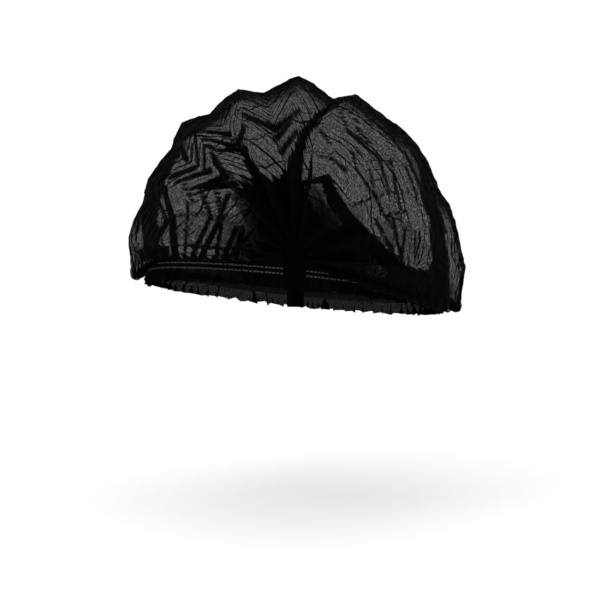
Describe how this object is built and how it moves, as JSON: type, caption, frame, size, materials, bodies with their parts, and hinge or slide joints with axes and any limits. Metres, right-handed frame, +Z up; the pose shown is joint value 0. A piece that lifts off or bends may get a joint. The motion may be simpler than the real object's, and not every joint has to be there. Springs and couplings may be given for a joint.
{
  "type": "clip cap",
  "caption": "Throw-away hair cover of sheer black nonwoven cloth, pleated lengthwise between two welded ends, with an elastic ruffled hem, opened as on a head.",
  "frame": {"origin": "middle of the elastic's oval, where the head enters; the oval's plane falls 1 in 10 to the right and 1 in 6.5 to the back", "axes": "+Z up along the head, +Y to the back of the head, +X to the right as seen from the front"},
  "size_m": [0.187, 0.221, 0.1428],
  "materials": {
    "cloth": "sheer spunbond nonwoven, matt",
    "elastic": "covered elastic, matt",
    "weld": "heat-sealed layers of the cloth, slightly shiny"
  },
  "bodies": {
    "root": {"crown": "cloth", "frill_left": "cloth", "frill_right": "cloth", "elastic_left": "elastic", "elastic_right": "elastic", "welded_end_front": "weld", "welded_end_back": "weld"}
  },
  "joints": []
}
